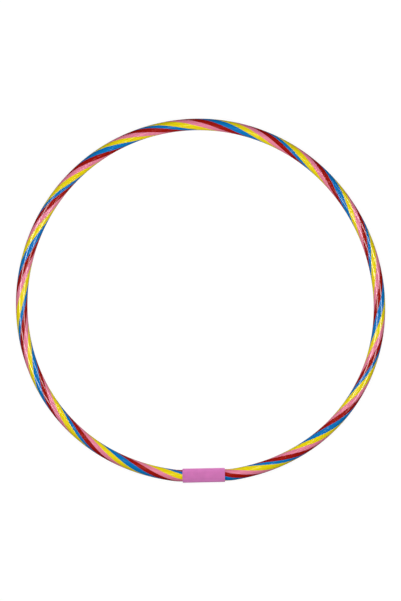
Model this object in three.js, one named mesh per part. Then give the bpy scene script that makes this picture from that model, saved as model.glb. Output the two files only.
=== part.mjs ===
// Rhythmic gymnastics hoop, made of one striped plastic tube whose two ends meet inside a sleeve.
// Millimetres, +Z up. The hoop lies flat, its joint towards -Y.
//
// A place on the ring is a bearing: the angle in degrees from the joint, clockwise seen from above.
// A place on the tube's skin is a clock angle: 0 faces out of the ring, 90 faces up.

import * as THREE from 'three';

// Ring, measured to the tube's centreline
const RING_RADIUS = 339.5;
const JOINT_DEPTH = 330.3;       // from the ring's centre to the axis of the straight joint
const BEND_BLEND = 1.0;          // softens the bend where the tube leaves the straight joint
const STRAIGHT_REACH = 60;       // bearing by which the ring is clear of the straight joint
const OUT_OF_ROUND = [           // slow waves in the ring's radius, each with the bearing of a peak
  { lobes: 2, height: 2.8, peak: 106 },
  { lobes: 3, height: 2.7, peak: 58 },
  { lobes: 4, height: 1.0, peak: 42 },
];

// Tube
const TUBE_RADIUS = 11;
const CHANNEL_RADIUS = 10;       // floor of the channels that hold the inlaid strips
const BORE_RADIUS = 9;
const BORE_SIDES = 8;
const TWIST_TURNS = 8.66;        // turns of the stripes in one lap of the ring
const TWIST_WAVER = [            // degrees by which the twist runs ahead, with the bearing of a peak
  { lobes: 1, height: 3.0, peak: 332 },
  { lobes: 2, height: 1.4, peak: 176 },
  { lobes: 3, height: 1.0, peak: 66 },
];
const FIRST_CLOCK_ANGLE = -10.3; // where the first stripe starts at the joint
const GAP = 0.3;                 // clearance between neighbouring solids
const EDGE_GAP = 0.25;           // clearance between a strip's edge and the line where its colour ends

// Stripes in order round the tube, with the width of each in degrees of its circumference.
// Yellow is the tube's own plastic, and the other colours are laid into its channels.
const STRIPES = [
  { colour: 'yellow', width: 55 },
  { colour: 'blue', width: 31.5, node: 'blue_strip_1' },
  { colour: 'red', width: 43.5, node: 'red_strip_1' },
  { colour: 'pink', width: 43, node: 'pink_strip_1' },
  { colour: 'yellow', width: 46.5 },
  { colour: 'blue', width: 52.5, node: 'blue_strip_2' },
  { colour: 'red', width: 44, node: 'red_strip_2' },
  { colour: 'pink', width: 44, node: 'pink_strip_2' },
];

// Joint
const SLEEVE_LENGTH = 80.6;
const SLEEVE_RADIUS = 13.5;
const SLEEVE_CHAMFER = 0.4;
const MOUTH_CHAMFER = 0.8;
const SLEEVE_SIDES = 24;
const COLLAR_WIDTH = 2;          // the plug's collar, which keeps the tube's ends apart
const PLUG_REACH = 34;           // from the middle of the plug to each of its tips
const PLUG_BORE_RADIUS = 4.5;
const BARB_RADIUS = 7.9;
const BARB_ROOT_RADIUS = 7.1;
const BARBS_PER_SIDE = 4;
const BARB_LENGTH = 0.9;         // as a part of the distance from one barb to the next
const COLLAR_TO_BARB = 2;
const PLUG_SIDES = 16;

// Fineness of the tube's mesh along the ring
const ARC_STEPS = 120;
const JOINT_STEPS = 2;           // steps from each end of the tube to the sleeve's mouth

const COLOURS = {
  yellow: 0xf6de14,
  blue: 0x0c7ac4,
  red: 0xa9190c,
  pink: 0xea80a4,
  sleeve: 0xc870b2,
  plug: 0xd9d9d4,
};

const ROUGHNESS = {
  yellow: 0.15,
  blue: 0.15,
  red: 0.15,
  pink: 0.15,
  sleeve: 0.6,
  plug: 0.45,
};

const CORNERS_PER_SIDE_FACE = 6; // two triangles of an extrusion's side, without shared corners

const { degToRad, radToDeg, lerp } = THREE.MathUtils;

function plastic(colour) {
  return new THREE.MeshStandardMaterial({
    color: COLOURS[colour],
    roughness: ROUGHNESS[colour],
    metalness: 0,
  });
}

function namedMesh(name, geometry, material) {
  const mesh = new THREE.Mesh(geometry, material);
  mesh.name = name;
  return mesh;
}

// Centreline ---------------------------------------------------------------------------------------

// Sum of waves that run round the ring
function waveHeight(waves, bearing) {
  const heights = waves.map(({ lobes, height, peak }) => height * Math.cos(lobes * degToRad(bearing - peak)));
  return heights.reduce((sum, height) => sum + height, 0);
}

// The lesser of two lengths, rounded off where they cross
function smoothMin(a, b, blend) {
  const overlap = Math.max(blend - Math.abs(a - b), 0) / blend;
  return Math.min(a, b) - (overlap * overlap * blend) / 4;
}

// The ring with a straight chord across the joint
function centreRadius(bearing) {
  const ring = RING_RADIUS + waveHeight(OUT_OF_ROUND, bearing);
  if (bearing > STRAIGHT_REACH && bearing < 360 - STRAIGHT_REACH) return ring;
  return smoothMin(ring, JOINT_DEPTH / Math.cos(degToRad(bearing)), BEND_BLEND);
}

function centrePoint(bearing) {
  const angle = degToRad(bearing);
  const radius = centreRadius(bearing);
  return new THREE.Vector3(-radius * Math.sin(angle), -radius * Math.cos(angle), 0);
}

// Level direction square to the centreline, pointing out of the ring
function outward(bearing) {
  const step = 0.05;
  const along = centrePoint(bearing + step).sub(centrePoint(bearing - step)).normalize();
  return new THREE.Vector3(-along.y, along.x, 0);
}

// Tube ---------------------------------------------------------------------------------------------

const TUBE_STEPS = ARC_STEPS + 2 * JOINT_STEPS;
const END_BEARING = radToDeg(Math.atan((COLLAR_WIDTH / 2 + GAP) / JOINT_DEPTH));
const MOUTH_BEARING = radToDeg(Math.atan(SLEEVE_LENGTH / 2 / JOINT_DEPTH));

// Bearing of a step along the tube, with one step exactly at each mouth of the sleeve
function stepBearing(step) {
  if (step < JOINT_STEPS) return lerp(END_BEARING, MOUTH_BEARING, step / JOINT_STEPS);
  if (step > TUBE_STEPS - JOINT_STEPS) return 360 - stepBearing(TUBE_STEPS - step);
  return lerp(MOUTH_BEARING, 360 - MOUTH_BEARING, (step - JOINT_STEPS) / ARC_STEPS);
}

// Degrees that the stripes have turned round the tube by a bearing
function twist(bearing) {
  return TWIST_TURNS * bearing + waveHeight(TWIST_WAVER, bearing);
}

// Moves a straight bar, one unit long, onto the ring and twists it as it goes
function windRoundRing(geometry) {
  const position = geometry.attributes.position;
  const point = new THREE.Vector3();
  for (let i = 0; i < position.count; i += 1) {
    point.fromBufferAttribute(position, i);
    const bearing = stepBearing(Math.round(point.z * TUBE_STEPS));
    const section = new THREE.Vector2(point.x, point.y);
    section.rotateAround(new THREE.Vector2(), degToRad(twist(bearing)));
    const place = centrePoint(bearing).addScaledVector(outward(bearing), section.x);
    position.setXYZ(i, place.x, place.y, section.y);
  }
}

// Splits each side face of an extrusion along its shorter diagonal, so that twisted neighbours, which
// share their edges but not their winding, keep the same faces
function splitAlongShorterDiagonals(geometry) {
  const position = geometry.attributes.position;
  const sides = geometry.groups[1];
  const corner = (i) => new THREE.Vector3().fromBufferAttribute(position, i);
  for (let i = sides.start; i < sides.start + sides.count; i += CORNERS_PER_SIDE_FACE) {
    const [a, b, c, d] = [corner(i), corner(i + 1), corner(i + 4), corner(i + 2)];
    if (a.distanceTo(c) < b.distanceTo(d)) {
      [a, b, c, a, c, d].forEach((point, k) => position.setXYZ(i + k, point.x, point.y, point.z));
    }
  }
}

function twistedBar(shape) {
  const geometry = new THREE.ExtrudeGeometry(shape, { depth: 1, steps: TUBE_STEPS, bevelEnabled: false });
  windRoundRing(geometry);
  splitAlongShorterDiagonals(geometry);
  geometry.computeVertexNormals();
  return geometry;
}

function skinPoint(radius, clockAngle) {
  const angle = degToRad(clockAngle);
  return new THREE.Vector2(radius * Math.cos(angle), radius * Math.sin(angle));
}

// Stripes with their start and end clock angles added
function placedStripes() {
  let start = FIRST_CLOCK_ANGLE;
  return STRIPES.map((stripe) => {
    const end = start + stripe.width;
    const placed = { ...stripe, start, end, middle: (start + end) / 2 };
    start = end;
    return placed;
  });
}

// Section of the tube: full radius along each yellow land, and a channel floor under each inlaid strip
function tubeShape(stripes) {
  const outline = stripes.flatMap(({ node, start, middle, end }) => (node
    ? [skinPoint(CHANNEL_RADIUS, start), skinPoint(CHANNEL_RADIUS, end)]
    : [skinPoint(TUBE_RADIUS, start), skinPoint(TUBE_RADIUS, middle), skinPoint(TUBE_RADIUS, end)]));
  const distinct = outline.filter((point, i) => point.distanceTo(outline.at(i - 1)) > GAP);
  const shape = new THREE.Shape(distinct);
  const bore = Array.from({ length: BORE_SIDES }, (_, i) => skinPoint(BORE_RADIUS, (-360 * i) / BORE_SIDES));
  shape.holes.push(new THREE.Path(bore));
  return shape;
}

// Section of an inlaid strip, clear of its neighbours and of the channel's floor
function stripShape({ start, middle, end }) {
  const clearance = radToDeg(EDGE_GAP / CHANNEL_RADIUS);
  const floor = CHANNEL_RADIUS + GAP;
  return new THREE.Shape([
    skinPoint(TUBE_RADIUS, start + clearance),
    skinPoint(TUBE_RADIUS, middle),
    skinPoint(TUBE_RADIUS, end - clearance),
    skinPoint(floor, end - clearance),
    skinPoint(floor, start + clearance),
  ]);
}

function tubeMeshes() {
  const stripes = placedStripes();
  const base = namedMesh('tube_base', twistedBar(tubeShape(stripes)), plastic('yellow'));
  const strips = stripes.filter(({ node }) => node).map(
    (stripe) => namedMesh(stripe.node, twistedBar(stripShape(stripe)), plastic(stripe.colour)),
  );
  return [base, ...strips];
}

// Joint --------------------------------------------------------------------------------------------

// A turned solid lying along X at the joint. The profile's points are radius and place along the axis.
function turned(name, profile, sides, material) {
  const points = profile.map(([radius, along]) => new THREE.Vector2(radius, along));
  const geometry = new THREE.LatheGeometry([...points, points[0]], sides);
  geometry.rotateY(Math.PI / sides);
  geometry.rotateZ(-Math.PI / 2);
  const mesh = namedMesh(name, geometry, material);
  mesh.position.y = -JOINT_DEPTH;
  return mesh;
}

function jointSleeve() {
  const end = SLEEVE_LENGTH / 2;
  const inner = TUBE_RADIUS + GAP;
  const rightHalf = [
    [inner, end - MOUTH_CHAMFER],
    [inner + MOUTH_CHAMFER, end],
    [SLEEVE_RADIUS - SLEEVE_CHAMFER, end],
    [SLEEVE_RADIUS, end - SLEEVE_CHAMFER],
  ];
  const leftHalf = rightHalf.map(([radius, along]) => [radius, -along]).reverse();
  return turned('joint_sleeve', [...leftHalf, ...rightHalf].reverse(), SLEEVE_SIDES, plastic('sleeve'));
}

// Barbs point to the middle of the plug, so that each tube end pushes on and doesn't pull off
function jointPlug() {
  const firstBarb = COLLAR_WIDTH / 2 + COLLAR_TO_BARB;
  const pitch = (PLUG_REACH - firstBarb) / BARBS_PER_SIDE;
  const collar = [[TUBE_RADIUS - GAP, COLLAR_WIDTH / 2], [BARB_ROOT_RADIUS, COLLAR_WIDTH / 2]];
  const barbs = Array.from({ length: BARBS_PER_SIDE }, (_, i) => [
    [BARB_ROOT_RADIUS, firstBarb + i * pitch],
    [BARB_RADIUS, firstBarb + i * pitch],
    [BARB_ROOT_RADIUS, firstBarb + (i + BARB_LENGTH) * pitch],
  ]).flat();
  const rightHalf = [...collar, ...barbs, [PLUG_BORE_RADIUS, PLUG_REACH]];
  const leftHalf = rightHalf.map(([radius, along]) => [radius, -along]).reverse();
  return turned('joint_plug', [...leftHalf, ...rightHalf], PLUG_SIDES, plastic('plug'));
}

// Assembly -----------------------------------------------------------------------------------------

const hoop = new THREE.Group();
hoop.name = 'rhythmic_hoop';
hoop.add(...tubeMeshes(), jointSleeve(), jointPlug());

// The origin is the middle of the underside of the hoop's box, so that it lies on the plane Z = 0
const box = new THREE.Box3().setFromObject(hoop, true);
const middle = box.getCenter(new THREE.Vector3());
hoop.position.set(-middle.x, -middle.y, -box.min.z);

export default hoop;
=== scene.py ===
"""The finished look of the rhythmic hoop: striped tube, joint sleeve and the plug inside it.

Metres, in the CAD frame: the hoop lies flat on Z = 0 with its joint towards -Y.
A place on the ring is a bearing: the angle in degrees from the joint, clockwise seen from above.
A place on the tube's skin is a clock angle: 0 faces out of the ring, 90 faces up.
"""

import math

import bpy
import numpy as np
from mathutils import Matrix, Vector


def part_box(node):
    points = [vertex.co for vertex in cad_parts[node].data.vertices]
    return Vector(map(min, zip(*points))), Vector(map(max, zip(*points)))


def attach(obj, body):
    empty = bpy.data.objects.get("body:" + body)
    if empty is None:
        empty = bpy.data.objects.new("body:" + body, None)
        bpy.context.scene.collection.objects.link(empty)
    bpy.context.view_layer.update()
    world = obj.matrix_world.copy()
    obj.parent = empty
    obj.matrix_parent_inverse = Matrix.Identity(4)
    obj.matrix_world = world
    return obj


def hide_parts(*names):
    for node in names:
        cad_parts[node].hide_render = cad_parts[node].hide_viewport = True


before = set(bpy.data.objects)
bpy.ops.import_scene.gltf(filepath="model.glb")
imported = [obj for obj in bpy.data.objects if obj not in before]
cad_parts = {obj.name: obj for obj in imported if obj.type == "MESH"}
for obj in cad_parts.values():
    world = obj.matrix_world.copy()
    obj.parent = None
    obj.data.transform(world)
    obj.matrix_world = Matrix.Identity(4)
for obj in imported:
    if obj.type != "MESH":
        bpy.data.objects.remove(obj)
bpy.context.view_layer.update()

MM = 0.001

# Ring, as in the CAD model -------------------------------------------------------------------------
RING_RADIUS = 339.5 * MM
JOINT_DEPTH = 330.3 * MM            # from the ring's centre to the sleeve's axis
BEND_BLEND = 1.0 * MM               # softens the bend where the tube leaves the straight joint
OUT_OF_ROUND = (                    # waves of the ring: lobes, height, bearing of a peak
    (2, 2.8 * MM, 106),
    (3, 2.7 * MM, 58),
    (4, 1.0 * MM, 42),
)

# Tube ----------------------------------------------------------------------------------------------
CHANNEL_DEPTH = 1.0 * MM            # of the channels that hold the inlaid strips
WALL = 2.0 * MM
TWIST_TURNS = 8.66                  # turns of the stripes in one lap of the ring
TWIST_WAVER = (                     # by how much it runs ahead: lobes, degrees, bearing of a peak
    (1, 3.0, 332),
    (2, 1.4, 176),
    (3, 1.0, 66),
)
FIRST_CLOCK_ANGLE = -10.3           # of the first stripe's start, before the twist is added
SEAM = 0.25                         # degrees of the skin between two neighbouring colours
SEAM_DEPTH = 0.10 * MM              # how far the skin dips at a seam
SEAM_WIDTH = 0.50 * MM              # over what distance it dips
STRIP_GAP = 0.02 * MM               # between a strip and the floor of its channel
SKIN_POINTS = 17                    # across each stripe's skin
FLOOR_POINTS = 5                    # across each stripe's part of a channel's floor
STATION_SPACING = 3.2 * MM          # between the sections of the tube's mesh
DIRECTION_STEP = 0.05               # degrees either way, over which the centreline's direction is taken
SHARP_ANGLE = 35                    # degrees; steeper edges are shaded sharp

# Joint ---------------------------------------------------------------------------------------------
SLEEVE_PLAY = 0.15 * MM             # between the sleeve's bore and the tube
SLEEVE_LIP = 0.4 * MM               # radius of the sleeve's rounded rims
COLLAR_WIDTH = 2.0 * MM             # the plug's collar, which keeps the tube's ends apart
COLLAR_DROP = 0.3 * MM              # from the tube's skin down to the collar's
END_GAP = 0.1 * MM                  # between the collar and each end of the tube
PLUG_REACH = 34 * MM                # from the middle of the plug to each of its tips
PLUG_BORE_RADIUS = 4.5 * MM
PLUG_LIP = 0.5 * MM                 # radius of the rounded edges at its tips
BARB_RADIUS = 7.9 * MM
BARB_ROOT_RADIUS = 7.1 * MM
BARBS_PER_SIDE = 4
BARB_LENGTH = 0.9                   # as a part of the distance from one barb to the next
BARB_CREST = 0.5 * MM               # flat top of a barb
COLLAR_TO_BARB = 2 * MM
ARC_POINTS = 7                      # along a quarter round
SLEEVE_SIDES = 96
PLUG_SIDES = 64

# Stripes in order round the tube: colour, width in degrees, CAD node that it replaces.
# The yellow ones are lands of the tube's own plastic.
STRIPES = (
    ("yellow", 55.0, None),
    ("blue", 31.5, "blue_strip_1"),
    ("red", 43.5, "red_strip_1"),
    ("pink", 43.0, "pink_strip_1"),
    ("yellow", 46.5, None),
    ("blue", 52.5, "blue_strip_2"),
    ("red", 44.0, "red_strip_2"),
    ("pink", 44.0, "pink_strip_2"),
)

# Colours of the plastics as linear light
COLOURS = {
    "yellow": (0.855, 0.700, 0.006),
    "blue": (0.003, 0.183, 0.540),
    "red": (0.352, 0.008, 0.004),
    "pink": (0.833, 0.236, 0.348),
    "sleeve": (0.667, 0.207, 0.515),
    "plug": (0.625, 0.625, 0.585),
}

# Blender's noise lies mostly between these two
NOISE_LOW = 0.3
NOISE_HIGH = 0.7

# Camera --------------------------------------------------------------------------------------------
VIEW_HEIGHT = 1.146                 # what the picture's height takes in, at the level of the tube
CAMERA_HEIGHT = 4.0
CAMERA_ROLL = -1.14                 # degrees
SENSOR = 36.0                       # millimetres, along the picture's height
VIEW_DISTANCE = 100                 # how far the camera sees

# Floor and backdrop --------------------------------------------------------------------------------
FLOOR_RADIUS = 8.0                  # of the flat part of the floor
COVE_RADIUS = 3.0                   # of the curve that joins the floor to the wall
BACKDROP_HEIGHT = 8.0
BACKDROP_SIDES = 96
FLOOR_DROP = 0.2 * MM               # keeps the floor's plane apart from the sleeve, which rests on it
FLOOR_SHADE = 0.1
FLOOR_GLOW = 0.94                   # with the light on the floor's own shade, this makes it just white

# Light ---------------------------------------------------------------------------------------------
# A long softbox on each side, a small one overhead that makes no reflection, and the room's own light
SIDE_BOX_OUT = 1.52
SIDE_BOX_HEIGHT = 1.755
SIDE_BOX_LENGTH = 2.2
SIDE_BOX_WIDTH = 0.45
LEFT_BOX_POWER = 25.3
RIGHT_BOX_POWER = 21.2
FILL_HEIGHT = 0.9
FILL_SIZE = 0.3
FILL_POWER = 3.9
FLOOR_BOUNCE = 0.65                 # strength of the room's light from below, as off a white floor
SKY_LIGHT = 0.04                    # and from above
HORIZON_BLUR = 0.1                  # how far above and below the horizon the two blend

# From the frame ------------------------------------------------------------------------------------
SLEEVE_LOW, SLEEVE_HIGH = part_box("joint_sleeve")
TUBE_LOW, TUBE_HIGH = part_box("tube_base")
JOINT = (SLEEVE_LOW + SLEEVE_HIGH) / 2
TUBE_RADIUS = (TUBE_HIGH.z - TUBE_LOW.z) / 2
SLEEVE_LENGTH = SLEEVE_HIGH.x - SLEEVE_LOW.x
SLEEVE_RADIUS = (SLEEVE_HIGH.z - SLEEVE_LOW.z) / 2


# Centreline ----------------------------------------------------------------------------------------

def wave_height(waves, bearing):
    """Sum of waves that run round the ring."""
    return sum(height * np.cos(lobes * np.radians(bearing - peak)) for lobes, height, peak in waves)


def smooth_min(a, b, blend):
    """The lesser of two lengths, rounded off where they cross."""
    overlap = np.maximum(blend - np.abs(a - b), 0) / blend
    return np.minimum(a, b) - overlap * overlap * blend / 4


def centre_points(bearings):
    """Points of the tube's centreline: the ring, with a straight chord across the joint."""
    angle = np.radians(bearings)
    # The chord counts near the joint only, and the lower bound keeps it out of the way elsewhere
    chord = JOINT_DEPTH / np.maximum(np.cos(angle), 0.5)
    radius = smooth_min(RING_RADIUS + wave_height(OUT_OF_ROUND, bearings), chord, BEND_BLEND)
    x = JOINT.x - radius * np.sin(angle)
    y = JOINT.y + JOINT_DEPTH - radius * np.cos(angle)
    return np.stack([x, y, np.full_like(x, JOINT.z)], axis=-1)


def outward_directions(bearings):
    """Level directions square to the centreline, pointing out of the ring."""
    along = centre_points(bearings + DIRECTION_STEP) - centre_points(bearings - DIRECTION_STEP)
    along /= np.linalg.norm(along, axis=-1, keepdims=True)
    return np.stack([-along[:, 1], along[:, 0], np.zeros(len(along))], axis=-1)


def twist_angles(bearings):
    """Degrees that the stripes have turned round the tube at each bearing."""
    return TWIST_TURNS * bearings + wave_height(TWIST_WAVER, bearings)


def tube_bearings():
    """Stations along the tube from one of its ends to the other."""
    first = math.degrees(math.atan((COLLAR_WIDTH / 2 + END_GAP) / JOINT_DEPTH))
    count = round(2 * math.pi * RING_RADIUS / STATION_SPACING)
    return np.linspace(first, 360 - first, count)


BEARINGS = tube_bearings()
OUTER, INNER = 0, 1                 # the two skins of a wound solid


# Meshes --------------------------------------------------------------------------------------------

def finish_piece(name, mesh, material, node):
    """Puts a mesh in the scene as the piece that replaces a CAD node."""
    piece = bpy.data.objects.new(name, mesh)
    bpy.context.scene.collection.objects.link(piece)
    mesh.materials.append(material)
    mesh.shade_smooth()
    mesh.set_sharp_from_angle(angle=math.radians(SHARP_ANGLE))
    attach(piece, "root")
    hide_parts(node)


def set_uvs(mesh, vertex_uvs):
    """Gives the mesh a UV map in metres: along the stripes, and across them."""
    layer = mesh.uv_layers.new(name="along_piece")
    corners = np.empty(len(mesh.loops), np.int32)
    mesh.loops.foreach_get("vertex_index", corners)
    layer.data.foreach_set("uv", vertex_uvs[corners].astype(np.float32).ravel())


def wound_mesh(name, angles, outer, inner, is_ring):
    """A solid that winds round the tube. Its section has an outer and an inner skin, at the same
    clock angles. It closes on itself if is_ring, and otherwise has two edges."""
    count = len(angles)
    twisted = np.radians(angles[None, :] + twist_angles(BEARINGS)[:, None])
    centres = centre_points(BEARINGS)[:, None, :]
    out = outward_directions(BEARINGS)[:, None, :]
    up = np.array([0.0, 0.0, 1.0])
    direction = np.cos(twisted)[..., None] * out + np.sin(twisted)[..., None] * up
    skins = [centres + radii[None, :, None] * direction for radii in (outer, inner)]
    vertices = np.stack(skins, axis=1).reshape(-1, 3)

    def vertex(station, skin, k):
        return (station * 2 + skin) * count + k % count

    # The section's outline as pairs of neighbouring points, each point a skin and a place across it
    columns = range(count if is_ring else count - 1)
    outline = [((OUTER, k), (OUTER, k + 1)) for k in columns]
    outline += [((INNER, k + 1), (INNER, k)) for k in columns]
    if not is_ring:
        outline += [((INNER, 0), (OUTER, 0)), ((OUTER, count - 1), (INNER, count - 1))]
    last = len(BEARINGS) - 1
    faces = [
        (vertex(s, *a), vertex(s, *b), vertex(s + 1, *b), vertex(s + 1, *a))
        for s in range(last) for a, b in outline
    ]
    for k in columns:
        cap = ((OUTER, k), (OUTER, k + 1), (INNER, k + 1), (INNER, k))
        faces.append(tuple(vertex(0, *corner) for corner in reversed(cap)))
        faces.append(tuple(vertex(last, *corner) for corner in cap))

    mesh = bpy.data.meshes.new(name)
    mesh.from_pydata(vertices.tolist(), [], faces)
    along = np.radians(BEARINGS) * RING_RADIUS
    across = np.radians(angles) * TUBE_RADIUS
    uvs = np.stack(np.broadcast_arrays(along[:, None, None], across[None, None, :]), axis=-1)
    set_uvs(mesh, np.repeat(uvs, 2, axis=1).reshape(-1, 2))
    return mesh


def turned_mesh(name, profile, sides):
    """A solid of revolution along X at the joint. The profile is a closed loop of (along, radius),
    whose inside is on its left."""
    vertices = []
    for side in range(sides):
        turn = 2 * math.pi * side / sides
        for along, radius in profile:
            offset = Vector((along, radius * math.cos(turn), radius * math.sin(turn)))
            vertices.append(JOINT + offset)
    count = len(profile)
    faces = []
    for side in range(sides):
        here = side * count
        there = (side + 1) % sides * count
        for k in range(count):
            after = (k + 1) % count
            faces.append((here + k, here + after, there + after, there + k))
    mesh = bpy.data.meshes.new(name)
    mesh.from_pydata(vertices, [], faces)
    return mesh


# Tube ----------------------------------------------------------------------------------------------

def placed_stripes():
    """Each stripe with its start and end clock angles."""
    start = FIRST_CLOCK_ANGLE
    for colour, width, node in STRIPES:
        yield colour, node, start, start + width
        start += width


def stripe_angles(start, end):
    """Clock angles across a stripe's skin, closer together towards its edges."""
    turn = np.linspace(0, math.pi, SKIN_POINTS)
    middle = (start + end) / 2
    half = (end - start - SEAM) / 2
    return middle - half * np.cos(turn)


def skin_radii(angles):
    """The tube's skin across one stripe: full radius, dipping to the seam at each edge."""
    to_edge = np.minimum(angles - angles[0], angles[-1] - angles)
    dip = np.clip(1 - np.radians(to_edge) * TUBE_RADIUS / SEAM_WIDTH, 0, 1)
    return TUBE_RADIUS - SEAM_DEPTH * dip**2


def add_tube_base(material):
    """The yellow tube: a land at full radius for each yellow stripe, and channels for the strips."""
    angles = []
    radii = []
    for _, node, start, end in placed_stripes():
        if node is None:
            angles.append(stripe_angles(start, end))
            radii.append(skin_radii(angles[-1]))
        else:
            angles.append(np.linspace(start + SEAM / 2, end - SEAM / 2, FLOOR_POINTS))
            radii.append(np.full(FLOOR_POINTS, TUBE_RADIUS - CHANNEL_DEPTH))
    angles = np.concatenate(angles)
    inner = np.full(len(angles), TUBE_RADIUS - WALL)
    mesh = wound_mesh("hoop_tube", angles, np.concatenate(radii), inner, is_ring=True)
    finish_piece("hoop_tube", mesh, material, "tube_base")


def add_strip(colour, node, start, end, material):
    """An inlaid strip that fills its part of a channel and shows as one stripe."""
    angles = stripe_angles(start, end)
    inner = np.full(len(angles), TUBE_RADIUS - CHANNEL_DEPTH + STRIP_GAP)
    mesh = wound_mesh(node, angles, skin_radii(angles), inner, is_ring=False)
    finish_piece("inlay_" + node, mesh, material, node)


# Joint ---------------------------------------------------------------------------------------------

def quarter_turn(start):
    """Angles in radians that run from the start, given in degrees, to a quarter turn on."""
    return np.radians(np.linspace(start, start + 90, ARC_POINTS))


def arc(along, radius, size, start):
    """A quarter round: its centre, its size, and where it starts, in degrees from the +X direction."""
    return [
        (along + size * math.cos(turn), radius + size * math.sin(turn))
        for turn in quarter_turn(start)
    ]


def rounded_end(reach, bore, skin, lip):
    """Profile of a hollow piece's end, from its bore to its skin, with both edges rounded."""
    return [*arc(reach - lip, bore + lip, lip, -90), *arc(reach - lip, skin - lip, lip, 0)]


def mirrored(right_half):
    """A closed profile from its right half, which runs from the bore to the skin."""
    left_half = [(-along, radius) for along, radius in reversed(right_half)]
    return [*right_half, *left_half]


def add_sleeve(material):
    """The plain straight sleeve over the joint."""
    right_end = rounded_end(SLEEVE_LENGTH / 2, TUBE_RADIUS + SLEEVE_PLAY, SLEEVE_RADIUS, SLEEVE_LIP)
    mesh = turned_mesh("joint_sleeve_body", mirrored(right_end), SLEEVE_SIDES)
    finish_piece("joint_sleeve_body", mesh, material, "joint_sleeve")


def barb(start, pitch):
    """One barb: steep towards the middle of the plug, and sloping down towards its tip."""
    return [
        (start + BARB_LENGTH * pitch, BARB_ROOT_RADIUS),
        (start + BARB_CREST, BARB_RADIUS),
        (start, BARB_RADIUS),
        (start, BARB_ROOT_RADIUS),
    ]


def add_plug(material):
    """The barbed connector inside both ends of the tube, with a collar between them."""
    first_barb = COLLAR_WIDTH / 2 + COLLAR_TO_BARB
    pitch = (PLUG_REACH - first_barb) / BARBS_PER_SIDE
    right_half = rounded_end(PLUG_REACH, PLUG_BORE_RADIUS, BARB_ROOT_RADIUS, PLUG_LIP)
    for i in reversed(range(BARBS_PER_SIDE)):
        right_half += barb(first_barb + i * pitch, pitch)
    collar = COLLAR_WIDTH / 2
    right_half += [(collar, BARB_ROOT_RADIUS), (collar, TUBE_RADIUS - COLLAR_DROP)]
    mesh = turned_mesh("joint_plug_body", mirrored(right_half), PLUG_SIDES)
    finish_piece("joint_plug_body", mesh, material, "joint_plug")


# Materials -----------------------------------------------------------------------------------------

class Plastic:
    """A plastic whose shade, gloss and relief follow noises that are fixed to the piece."""

    def __init__(self, name):
        self.material = bpy.data.materials.new(name)
        self.material.use_nodes = True
        self.nodes = self.material.node_tree.nodes
        self.links = self.material.node_tree.links
        self.shader = self.nodes["Principled BSDF"]
        self.shader.inputs["IOR"].default_value = 1.5

    def noise(self, vector, scale, detail):
        """Noise over the given coordinates."""
        texture = self.nodes.new("ShaderNodeTexNoise")
        texture.inputs["Scale"].default_value = scale
        texture.inputs["Detail"].default_value = detail
        self.links.new(vector, texture.inputs["Vector"])
        return texture.outputs["Fac"]

    def mottle(self, size, detail=2.0):
        """Noise with features of about this size in metres, the same in all directions."""
        place = self.nodes.new("ShaderNodeTexCoord")
        return self.noise(place.outputs["Object"], 1 / size, detail)

    def streaks(self, length, width):
        """Noise drawn out along the stripes, with streaks of this length and width in metres."""
        place = self.nodes.new("ShaderNodeUVMap")
        place.uv_map = "along_piece"
        stretch = self.nodes.new("ShaderNodeMapping")
        stretch.inputs["Scale"].default_value = (1 / length, 1 / width, 1)
        self.links.new(place.outputs["UV"], stretch.inputs["Vector"])
        return self.noise(stretch.outputs["Vector"], scale=1.0, detail=3.0)

    def spread(self, noise, low, high):
        """A noise stretched to run from low to high over its usual range."""
        stretch = self.nodes.new("ShaderNodeMapRange")
        stretch.inputs["From Min"].default_value = NOISE_LOW
        stretch.inputs["From Max"].default_value = NOISE_HIGH
        stretch.inputs["To Min"].default_value = low
        stretch.inputs["To Max"].default_value = high
        self.links.new(noise, stretch.inputs["Value"])
        return stretch.outputs["Result"]

    def shade(self, colour, noise, variation):
        """Makes the colour lighter and darker, at most by this part of itself."""
        mix = self.nodes.new("ShaderNodeMix")
        mix.data_type = "RGBA"
        mix.inputs["A"].default_value = (*(part * (1 - variation) for part in colour), 1)
        mix.inputs["B"].default_value = (*(part * (1 + variation) for part in colour), 1)
        self.links.new(self.spread(noise, 0, 1), mix.inputs["Factor"])
        self.links.new(mix.outputs["Result"], self.shader.inputs["Base Color"])

    def gloss(self, noise, lowest, highest):
        """Makes the surface's roughness vary between two values."""
        self.links.new(self.spread(noise, lowest, highest), self.shader.inputs["Roughness"])

    def relief(self, noise, height):
        """Raises the surface by a noise, on top of any relief that it has already."""
        bump = self.nodes.new("ShaderNodeBump")
        bump.inputs["Distance"].default_value = height
        self.links.new(noise, bump.inputs["Height"])
        normal = self.shader.inputs["Normal"]
        if normal.is_linked:
            self.links.new(normal.links[0].from_socket, bump.inputs["Normal"])
        self.links.new(bump.outputs["Normal"], normal)


def striped_plastic(name):
    """Glossy extruded plastic, with faint draw lines along the stripe and a slow ripple."""
    plastic = Plastic(name + "_plastic")
    plastic.shader.inputs["Specular IOR Level"].default_value = 1.0
    draw_lines = plastic.streaks(length=0.08, width=0.0011)
    plastic.shade(COLOURS[name], draw_lines, 0.04)
    plastic.gloss(plastic.mottle(0.016, detail=4.0), 0.10, 0.20)
    plastic.relief(draw_lines, 0.010 * MM)
    plastic.relief(plastic.mottle(0.006), 0.020 * MM)
    return plastic.material


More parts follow.
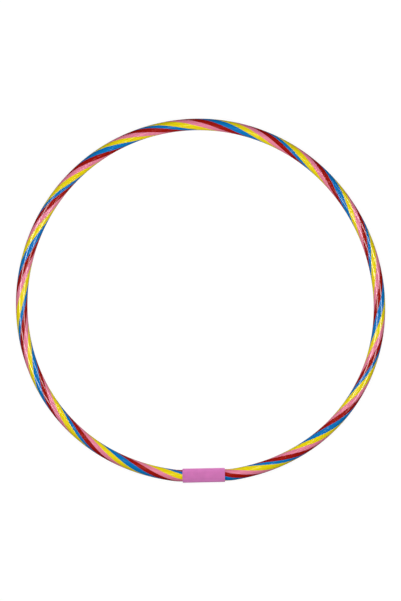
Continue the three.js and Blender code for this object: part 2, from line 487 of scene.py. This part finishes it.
def sleeve_plastic():
    """Matt moulded plastic with a fine grain and a soft bloom at grazing angles."""
    plastic = Plastic("sleeve_plastic")
    shader = plastic.shader
    shader.inputs["Specular IOR Level"].default_value = 0.3
    shader.inputs["Diffuse Roughness"].default_value = 1.0
    shader.inputs["Sheen Weight"].default_value = 0.35
    shader.inputs["Sheen Roughness"].default_value = 0.5
    shader.inputs["Sheen Tint"].default_value = (*COLOURS["sleeve"], 1)
    grain = plastic.mottle(0.0005)
    plastic.shade(COLOURS["sleeve"], plastic.mottle(0.012, detail=6.0), 0.04)
    plastic.gloss(grain, 0.52, 0.68)
    plastic.relief(grain, 0.030 * MM)
    return plastic.material


def plug_plastic():
    """Undyed, slightly waxy moulded plastic."""
    plastic = Plastic("plug_plastic")
    plastic.shade(COLOURS["plug"], plastic.mottle(0.010, detail=4.0), 0.05)
    plastic.gloss(plastic.mottle(0.003), 0.35, 0.50)
    plastic.relief(plastic.mottle(0.0007), 0.010 * MM)
    return plastic.material


# Stage ---------------------------------------------------------------------------------------------

def backdrop_mesh():
    """A flat floor that curves up into a wall all round, far behind the object."""
    cove = [
        (FLOOR_RADIUS + COVE_RADIUS * math.sin(turn), COVE_RADIUS * (1 - math.cos(turn)))
        for turn in quarter_turn(0)
    ]
    rings = [*cove, (FLOOR_RADIUS + COVE_RADIUS, BACKDROP_HEIGHT)]
    turns = [2 * math.pi * side / BACKDROP_SIDES for side in range(BACKDROP_SIDES)]
    vertices = [
        (radius * math.cos(turn), radius * math.sin(turn), height - FLOOR_DROP)
        for radius, height in rings for turn in turns
    ]
    faces = [tuple(range(BACKDROP_SIDES))]
    for ring in range(len(rings) - 1):
        here = ring * BACKDROP_SIDES
        there = here + BACKDROP_SIDES
        for side in range(BACKDROP_SIDES):
            after = (side + 1) % BACKDROP_SIDES
            faces.append((here + side, here + after, there + after, there + side))
    mesh = bpy.data.meshes.new("floor")
    mesh.from_pydata(vertices, [], faces)
    return mesh


def add_floor():
    """A floor that just reaches white. It throws no light, reflection or shadow onto the object."""
    mesh = backdrop_mesh()
    floor = bpy.data.objects.new("floor", mesh)
    bpy.context.scene.collection.objects.link(floor)
    material = bpy.data.materials.new("pale_floor")
    material.use_nodes = True
    shader = material.node_tree.nodes["Principled BSDF"]
    shader.inputs["Base Color"].default_value = (FLOOR_SHADE, FLOOR_SHADE, FLOOR_SHADE, 1)
    shader.inputs["Roughness"].default_value = 1.0
    shader.inputs["Specular IOR Level"].default_value = 0.0
    shader.inputs["Emission Color"].default_value = (1, 1, 1, 1)
    shader.inputs["Emission Strength"].default_value = FLOOR_GLOW
    mesh.materials.append(material)
    floor.visible_diffuse = False
    floor.visible_glossy = False
    floor.visible_shadow = False


def add_softbox(name, place, length, width, power, gloss=True):
    """A rectangular light that faces the origin. Without gloss it makes no reflection."""
    light = bpy.data.lights.new(name, "AREA")
    light.shape = "RECTANGLE"
    light.size = length
    light.size_y = width
    light.energy = power
    lamp = bpy.data.objects.new(name, light)
    lamp.location = place
    lamp.rotation_mode = "QUATERNION"
    lamp.rotation_quaternion = (-Vector(place)).to_track_quat("-Z", "Y")
    lamp.visible_camera = False
    lamp.visible_glossy = gloss
    bpy.context.scene.collection.objects.link(lamp)


def add_lights():
    left = (-SIDE_BOX_OUT, 0, SIDE_BOX_HEIGHT)
    right = (SIDE_BOX_OUT, 0, SIDE_BOX_HEIGHT)
    add_softbox("softbox_left", left, SIDE_BOX_LENGTH, SIDE_BOX_WIDTH, LEFT_BOX_POWER)
    add_softbox("softbox_right", right, SIDE_BOX_LENGTH, SIDE_BOX_WIDTH, RIGHT_BOX_POWER)
    add_softbox("overhead_fill", (0, 0, FILL_HEIGHT), FILL_SIZE, FILL_SIZE, FILL_POWER, gloss=False)


def set_world():
    """The room's light on the object: weak from above, and stronger from below, as off a white floor."""
    world = bpy.data.worlds.new("studio")
    world.use_nodes = True
    nodes = world.node_tree.nodes
    links = world.node_tree.links
    direction = nodes.new("ShaderNodeTexCoord")
    parts = nodes.new("ShaderNodeSeparateXYZ")
    links.new(direction.outputs["Generated"], parts.inputs["Vector"])
    strength = nodes.new("ShaderNodeMapRange")
    strength.inputs["From Min"].default_value = -HORIZON_BLUR
    strength.inputs["From Max"].default_value = HORIZON_BLUR
    strength.inputs["To Min"].default_value = FLOOR_BOUNCE
    strength.inputs["To Max"].default_value = SKY_LIGHT
    links.new(parts.outputs["Z"], strength.inputs["Value"])
    background = nodes["Background"]
    background.inputs["Color"].default_value = (1, 1, 1, 1)
    links.new(strength.outputs["Result"], background.inputs["Strength"])
    bpy.context.scene.world = world
    world.cycles_visibility.glossy = False
    bpy.context.scene.view_settings.view_transform = "Standard"


def add_camera():
    """A camera straight above the middle of the hoop."""
    camera = bpy.data.cameras.new("camera")
    camera.sensor_width = SENSOR
    camera.lens = SENSOR * (CAMERA_HEIGHT - JOINT.z) / VIEW_HEIGHT
    camera.clip_end = VIEW_DISTANCE
    holder = bpy.data.objects.new("camera", camera)
    holder.location = (0, 0, CAMERA_HEIGHT)
    holder.rotation_euler = (0, 0, math.radians(CAMERA_ROLL))
    bpy.context.scene.collection.objects.link(holder)
    bpy.context.scene.camera = holder


def build_hoop():
    """Every piece of the hoop, each with its plastic."""
    add_tube_base(striped_plastic("yellow"))
    materials = {colour: striped_plastic(colour) for colour in ("blue", "red", "pink")}
    for colour, node, start, end in placed_stripes():
        if node is not None:
            add_strip(colour, node, start, end, materials[colour])
    add_sleeve(sleeve_plastic())
    add_plug(plug_plastic())


add_camera()
add_floor()
add_lights()
set_world()
build_hoop()
